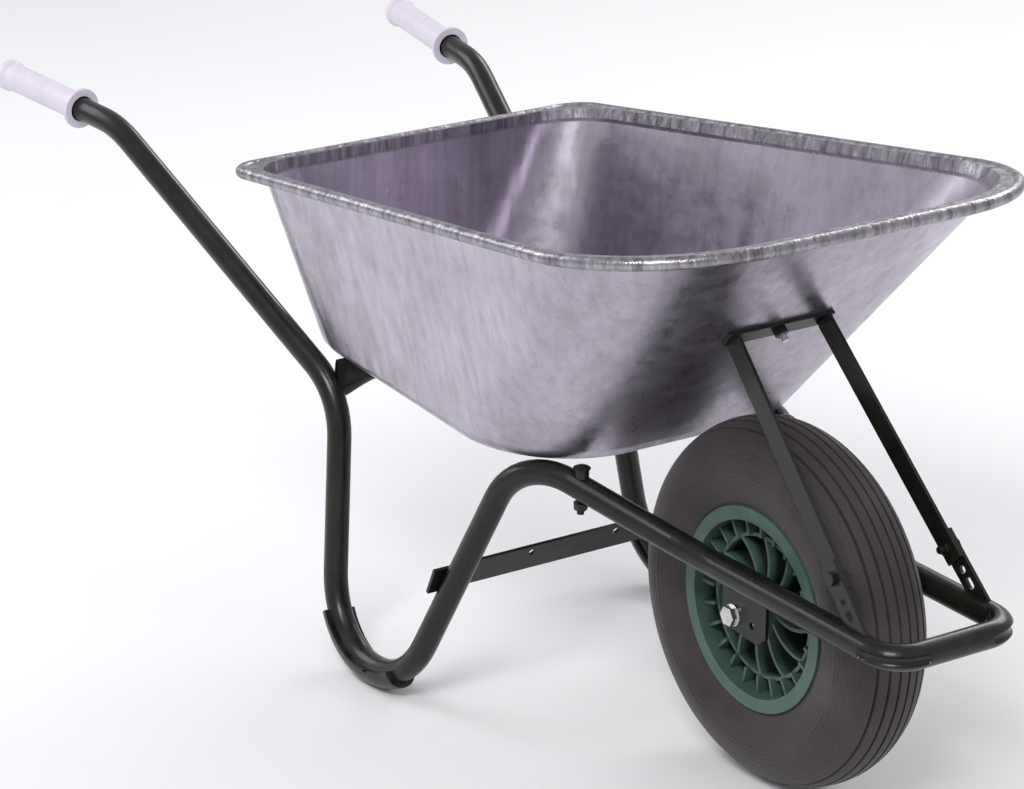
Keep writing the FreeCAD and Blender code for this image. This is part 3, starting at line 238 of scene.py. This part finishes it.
def zinc():
    """Bright zinc plating with turning marks and a faint straw tint."""
    look = Look("zinc_plate", Metallic=1.0)
    plain = look.place()
    cloud = look.noise(plain, scale=90.0, detail=4.0, rough=0.6)
    marks = look.noise(look.place(scale=(1.0, 8.0, 1.0)), scale=260.0, detail=3.0)
    look.colour(look.mix(look.spread(cloud, 0.35, 0.7), (0.70, 0.71, 0.74), (0.58, 0.55, 0.50)))
    look.roughness(look.spread(marks, 0.3, 0.7, 0.18, 0.36))
    look.bump((marks, 0.15, 0.0001))
    return look.material


def tyre_rubber():
    """Dusty brown-black rubber with fine moulding rings."""
    look = Look("tyre_rubber", Specular_IOR_Level=0.35, Sheen_Weight=0.12, Sheen_Roughness=0.5)
    wheel = look.place(centre=AXLE)
    flat = look.place(centre=AXLE, scale=(1.0, 0.0, 1.0))
    length = look.node("ShaderNodeVectorMath", operation="LENGTH")
    look.link(flat, length.inputs[0])
    rings = look.math("SINE", look.math("MULTIPLY", length.outputs["Value"], 1100.0))
    dust = look.noise(wheel, scale=16.0, detail=7.0, rough=0.65)
    grit = look.noise(wheel, scale=350.0, detail=4.0, rough=0.7)
    radius = look.spread(length.outputs["Value"], 0.12, 0.2)
    base = look.mix(look.spread(dust, 0.3, 0.72), (0.020, 0.015, 0.016), (0.055, 0.042, 0.044))
    gritty = look.math("MULTIPLY", radius, look.spread(grit, 0.45, 0.7, 0.0, 0.35))
    look.colour(look.mix(gritty, base, (0.075, 0.066, 0.055)))
    look.roughness(look.spread(dust, 0.3, 0.7, 0.55, 0.8))
    look.bump((rings, 0.35, 0.0005), (dust, 0.15, 0.001), (grit, 0.18, 0.0003))
    return look.material


def rim_plastic():
    """Moulded green-grey plastic, a little dusty, with painted shade deep between the ribs and spokes.
    """
    look = Look("rim_plastic", Specular_IOR_Level=0.4)
    wheel = look.place(centre=AXLE)
    dust = look.noise(wheel, scale=40.0, detail=6.0, rough=0.65)
    skin = look.noise(wheel, scale=700.0, detail=2.0)
    depth = look.math("ABSOLUTE", look.axis_value(wheel, 1))
    face = look.mix(look.spread(dust, 0.3, 0.75), (0.045, 0.090, 0.074), (0.085, 0.142, 0.122))
    # painted shade: the wheel's middle, between the ribs and spokes, coloured near black
    recess_shade = look.mix(look.spread(dust, 0.3, 0.75), (0.008, 0.014, 0.012), (0.018, 0.028, 0.024))
    look.colour(look.mix(look.spread(depth, 0.020, 0.0275), recess_shade, face))
    look.roughness(look.spread(dust, 0.3, 0.7, 0.34, 0.56))
    look.bump((dust, 0.10, 0.0008), (skin, 0.10, 0.0001))
    return look.material


def small_plastic(name, dark, light, gloss):
    """Moulded plastic or rubber for the small pieces."""
    look = Look(name, Specular_IOR_Level=0.4)
    plain = look.place()
    cloud = look.noise(plain, scale=60.0, detail=4.0, rough=0.6)
    skin = look.noise(plain, scale=800.0, detail=2.0)
    look.colour(look.mix(look.spread(cloud, 0.3, 0.7), dark, light))
    look.roughness(look.spread(cloud, 0.3, 0.7, gloss, gloss + 0.15))
    look.bump((skin, 0.12, 0.0001))
    return look.material


def brass():
    """Turned brass with light tarnish."""
    look = Look("brass", Metallic=1.0)
    plain = look.place()
    tarnish = look.noise(plain, scale=140.0, detail=4.0, rough=0.6)
    look.colour(look.mix(look.spread(tarnish, 0.35, 0.7), (0.74, 0.55, 0.26), (0.42, 0.29, 0.14)))
    look.roughness(look.spread(tarnish, 0.3, 0.7, 0.24, 0.45))
    look.bump((tarnish, 0.1, 0.0001))
    return look.material


FINISHES = {
    "galvanised": galvanised(),
    "frame_paint": frame_paint(),
    "grip": grip_plastic(),
    "zinc": zinc(),
    "tyre": tyre_rubber(),
    "tube_rubber": small_plastic("tube_rubber", (0.012, 0.012, 0.013), (0.03, 0.03, 0.03), 0.5),
    "rim": rim_plastic(),
    "bush": small_plastic("bush_plastic", (0.50, 0.50, 0.48), (0.64, 0.63, 0.60), 0.4),
    "black_plastic": small_plastic("black_plastic", (0.01, 0.01, 0.01), (0.03, 0.03, 0.03), 0.35),
    "brass": brass(),
}

for part in frame["record"]["subparts"]:
    node = frame["nodes"][part["node"]]
    for slot in node.material_slots:
        slot.material = FINISHES[part["material_slot"]]


# ---------------------------------------------------------------- floor, light and camera

def add_floor():
    """A wide pale floor under the barrow, outside the part."""
    bpy.ops.mesh.primitive_plane_add(size=60.0, location=(0, 0, 0))
    floor = bpy.context.object
    floor.name = "floor"
    look = Look("pale_floor", Specular_IOR_Level=0.2)
    cloud = look.noise(look.place(), scale=1.5, detail=3.0)
    look.colour(look.mix(look.spread(cloud, 0.3, 0.7), (0.86, 0.86, 0.865), (0.88, 0.88, 0.885)))
    look.shader.inputs["Roughness"].default_value = 0.7
    floor.data.materials.append(look.material)


def add_light(name, place, aim, size, power, colour=(1.0, 1.0, 1.0)):
    """Rectangular soft box at place, facing aim."""
    lamp = bpy.data.lights.new(name, "AREA")
    lamp.shape = "RECTANGLE"
    lamp.size, lamp.size_y = size
    lamp.energy = power
    lamp.color = colour
    holder = bpy.data.objects.new(name, lamp)
    bpy.context.scene.collection.objects.link(holder)
    holder.location = place
    holder.rotation_euler = (Vector(aim) - Vector(place)).to_track_quat("-Z", "Y").to_euler()


def add_world():
    world = bpy.data.worlds.new("studio")
    bpy.context.scene.world = world
    world.use_nodes = True
    background = world.node_tree.nodes["Background"]
    background.inputs["Color"].default_value = (0.97, 0.975, 1.0, 1.0)
    background.inputs["Strength"].default_value = 0.62


def add_camera():
    lens = bpy.data.cameras.new("view")
    lens.lens = LENS_MM
    lens.sensor_fit = "HORIZONTAL"
    lens.sensor_width = SENSOR_MM
    lens.clip_end = 100.0
    camera = bpy.data.objects.new("view", lens)
    bpy.context.scene.collection.objects.link(camera)
    camera.location = CAMERA_PLACE
    camera.rotation_euler = (radians(90.0 - CAMERA_PITCH), 0.0, radians(CAMERA_AZIMUTH))
    bpy.context.scene.camera = camera


MIDDLE = (0.0, 0.0, 0.3)
add_floor()
add_light("key", (2.2, -2.6, 3.4), MIDDLE, (1.6, 1.2), 95.0)
add_light("fill", (-2.6, -1.6, 2.2), MIDDLE, (1.8, 1.8), 35.0, (0.93, 0.95, 1.0))
add_light("back", (-1.2, 3.2, 2.8), MIDDLE, (2.6, 1.2), 60.0)
add_world()
add_camera()
bpy.context.scene.view_settings.view_transform = "Standard"
